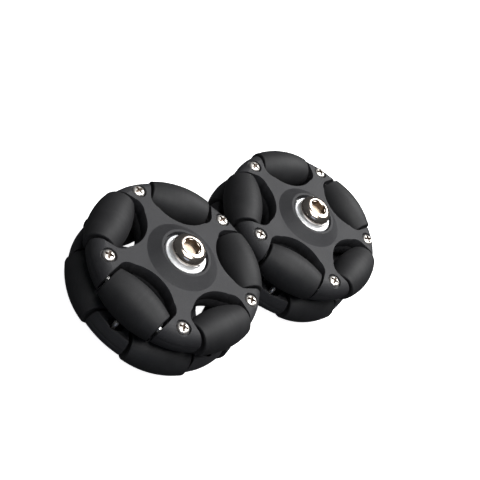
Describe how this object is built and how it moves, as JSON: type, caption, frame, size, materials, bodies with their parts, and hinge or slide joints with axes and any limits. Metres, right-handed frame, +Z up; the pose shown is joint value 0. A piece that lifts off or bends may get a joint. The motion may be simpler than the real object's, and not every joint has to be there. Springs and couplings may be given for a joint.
{
  "type": "omni wheel",
  "caption": "Omnidirectional robot wheels: barrel rubber rollers in staggered rows spin on steel axles clamped in split plastic housings around a hexagonal shaft coupler.",
  "frame": {"origin": "centre of the bounding box's base, midway between the two wheels on the surface they rest on", "axes": "+X from wheel A's axle to wheel B's, +Z up along both axles, hub screws uppermost"},
  "size_m": [0.1164, 0.058, 0.0295],
  "materials": {
    "nylon_housing": "fine moulded grain, satin",
    "roller_rubber": "smooth moulded rubber",
    "roller_core": "satin",
    "axle_steel": "ground",
    "screw_nickel": "nickel plated",
    "washer_zinc": "bright zinc plated",
    "coupler_metal": "turned, nickel plated"
  },
  "bodies": {
    "wheel_a": {"wheel_a_front_cover": "nylon_housing", "wheel_a_front_frame": "nylon_housing", "wheel_a_rear_frame": "nylon_housing", "wheel_a_rear_cover": "nylon_housing", "wheel_a_axle_pins": "axle_steel", "wheel_a_cover_screws": "screw_nickel", "wheel_a_hex_coupler": "coupler_metal", "wheel_a_flat_washer": "washer_zinc", "wheel_a_lock_washer": "washer_zinc", "wheel_a_hub_screw": "screw_nickel"},
    "roller_a_f1": {"wheel_a_roller_f1_tyre": "roller_rubber", "wheel_a_roller_f1_core": "roller_core"},
    "roller_a_f2": {"wheel_a_roller_f2_tyre": "roller_rubber", "wheel_a_roller_f2_core": "roller_core"},
    "roller_a_f3": {"wheel_a_roller_f3_tyre": "roller_rubber", "wheel_a_roller_f3_core": "roller_core"},
    "roller_a_f4": {"wheel_a_roller_f4_tyre": "roller_rubber", "wheel_a_roller_f4_core": "roller_core"},
    "roller_a_f5": {"wheel_a_roller_f5_tyre": "roller_rubber", "wheel_a_roller_f5_core": "roller_core"},
    "roller_a_r1": {"wheel_a_roller_r1_tyre": "roller_rubber", "wheel_a_roller_r1_core": "roller_core"},
    "roller_a_r2": {"wheel_a_roller_r2_tyre": "roller_rubber", "wheel_a_roller_r2_core": "roller_core"},
    "roller_a_r3": {"wheel_a_roller_r3_tyre": "roller_rubber", "wheel_a_roller_r3_core": "roller_core"},
    "roller_a_r4": {"wheel_a_roller_r4_tyre": "roller_rubber", "wheel_a_roller_r4_core": "roller_core"},
    "roller_a_r5": {"wheel_a_roller_r5_tyre": "roller_rubber", "wheel_a_roller_r5_core": "roller_core"},
    "wheel_b": {"wheel_b_front_cover": "nylon_housing", "wheel_b_front_frame": "nylon_housing", "wheel_b_rear_frame": "nylon_housing", "wheel_b_rear_cover": "nylon_housing", "wheel_b_axle_pins": "axle_steel", "wheel_b_cover_screws": "screw_nickel", "wheel_b_hex_coupler": "coupler_metal", "wheel_b_flat_washer": "washer_zinc", "wheel_b_lock_washer": "washer_zinc", "wheel_b_hub_screw": "screw_nickel"},
    "roller_b_f1": {"wheel_b_roller_f1_tyre": "roller_rubber", "wheel_b_roller_f1_core": "roller_core"},
    "roller_b_f2": {"wheel_b_roller_f2_tyre": "roller_rubber", "wheel_b_roller_f2_core": "roller_core"},
    "roller_b_f3": {"wheel_b_roller_f3_tyre": "roller_rubber", "wheel_b_roller_f3_core": "roller_core"},
    "roller_b_f4": {"wheel_b_roller_f4_tyre": "roller_rubber", "wheel_b_roller_f4_core": "roller_core"},
    "roller_b_f5": {"wheel_b_roller_f5_tyre": "roller_rubber", "wheel_b_roller_f5_core": "roller_core"},
    "roller_b_r1": {"wheel_b_roller_r1_tyre": "roller_rubber", "wheel_b_roller_r1_core": "roller_core"},
    "roller_b_r2": {"wheel_b_roller_r2_tyre": "roller_rubber", "wheel_b_roller_r2_core": "roller_core"},
    "roller_b_r3": {"wheel_b_roller_r3_tyre": "roller_rubber", "wheel_b_roller_r3_core": "roller_core"},
    "roller_b_r4": {"wheel_b_roller_r4_tyre": "roller_rubber", "wheel_b_roller_r4_core": "roller_core"},
    "roller_b_r5": {"wheel_b_roller_r5_tyre": "roller_rubber", "wheel_b_roller_r5_core": "roller_core"}
  },
  "joints": [
    {"name": "roller_a_f1_spin", "type": "hinge", "parent": "wheel_a", "child": "roller_a_f1", "pos_m": [-0.0161, 0.01854, 0.0192], "axis": [-0.8166, 0.5771, 0], "continuous": true},
    {"name": "roller_a_f2_spin", "type": "hinge", "parent": "wheel_a", "child": "roller_a_f2", "pos_m": [-0.04278, 0.01819, 0.0192], "axis": [-0.8013, -0.5983, 0], "continuous": true},
    {"name": "roller_a_f3_spin", "type": "hinge", "parent": "wheel_a", "child": "roller_a_f3", "pos_m": [-0.0507, -0.0073, 0.0192], "axis": [0.3214, -0.9469, 0], "continuous": true},
    {"name": "roller_a_f4_spin", "type": "hinge", "parent": "wheel_a", "child": "roller_a_f4", "pos_m": [-0.0289, -0.0227, 0.0192], "axis": [0.9999, 0.0131, 0], "continuous": true},
    {"name": "roller_a_f5_spin", "type": "hinge", "parent": "wheel_a", "child": "roller_a_f5", "pos_m": [-0.00752, -0.00673, 0.0192], "axis": [0.2965, 0.955, 0], "continuous": true},
    {"name": "roller_a_r1_spin", "type": "hinge", "parent": "wheel_a", "child": "roller_a_r1", "pos_m": [-0.05088, 0.00673, 0.0068], "axis": [-0.2965, -0.955, 0], "continuous": true},
    {"name": "roller_a_r2_spin", "type": "hinge", "parent": "wheel_a", "child": "roller_a_r2", "pos_m": [-0.0295, 0.0227, 0.0068], "axis": [-0.9999, -0.0131, 0], "continuous": true},
    {"name": "roller_a_r3_spin", "type": "hinge", "parent": "wheel_a", "child": "roller_a_r3", "pos_m": [-0.0077, 0.0073, 0.0068], "axis": [-0.3214, 0.9469, 0], "continuous": true},
    {"name": "roller_a_r4_spin", "type": "hinge", "parent": "wheel_a", "child": "roller_a_r4", "pos_m": [-0.01562, -0.01819, 0.0068], "axis": [0.8013, 0.5983, 0], "continuous": true},
    {"name": "roller_a_r5_spin", "type": "hinge", "parent": "wheel_a", "child": "roller_a_r5", "pos_m": [-0.0423, -0.01854, 0.0068], "axis": [0.8166, -0.5771, 0], "continuous": true},
    {"name": "roller_b_f1_spin", "type": "hinge", "parent": "wheel_b", "child": "roller_b_f1", "pos_m": [0.0358, 0.02172, 0.0192], "axis": [-0.9568, 0.2907, 0], "continuous": true},
    {"name": "roller_b_f2_spin", "type": "hinge", "parent": "wheel_b", "child": "roller_b_f2", "pos_m": [0.01058, 0.01299, 0.0192], "axis": [-0.5721, -0.8202, 0], "continuous": true},
    {"name": "roller_b_f3_spin", "type": "hinge", "parent": "wheel_b", "child": "roller_b_f3", "pos_m": [0.01109, -0.01369, 0.0192], "axis": [0.6032, -0.7976, 0], "continuous": true},
    {"name": "roller_b_f4_spin", "type": "hinge", "parent": "wheel_b", "child": "roller_b_f4", "pos_m": [0.03663, -0.02145, 0.0192], "axis": [0.9449, 0.3272, 0], "continuous": true},
    {"name": "roller_b_f5_spin", "type": "hinge", "parent": "wheel_b", "child": "roller_b_f5", "pos_m": [0.0519, 0.00044, 0.0192], "axis": [-0.0192, 0.9998, 0], "continuous": true},
    {"name": "roller_b_r1_spin", "type": "hinge", "parent": "wheel_b", "child": "roller_b_r1", "pos_m": [0.0065, -0.00044, 0.0068], "axis": [0.0192, -0.9998, 0], "continuous": true},
    {"name": "roller_b_r2_spin", "type": "hinge", "parent": "wheel_b", "child": "roller_b_r2", "pos_m": [0.02177, 0.02145, 0.0068], "axis": [-0.9449, -0.3272, 0], "continuous": true},
    {"name": "roller_b_r3_spin", "type": "hinge", "parent": "wheel_b", "child": "roller_b_r3", "pos_m": [0.04731, 0.01369, 0.0068], "axis": [-0.6032, 0.7976, 0], "continuous": true},
    {"name": "roller_b_r4_spin", "type": "hinge", "parent": "wheel_b", "child": "roller_b_r4", "pos_m": [0.04782, -0.01299, 0.0068], "axis": [0.5721, 0.8202, 0], "continuous": true},
    {"name": "roller_b_r5_spin", "type": "hinge", "parent": "wheel_b", "child": "roller_b_r5", "pos_m": [0.0226, -0.02172, 0.0068], "axis": [0.9568, -0.2907, 0], "continuous": true},
    {"name": "wheel_b_lift", "type": "slide", "parent": "wheel_a", "child": "wheel_b", "axis": [0, 0, 1], "range_m": [0, 0.05]}
  ]
}
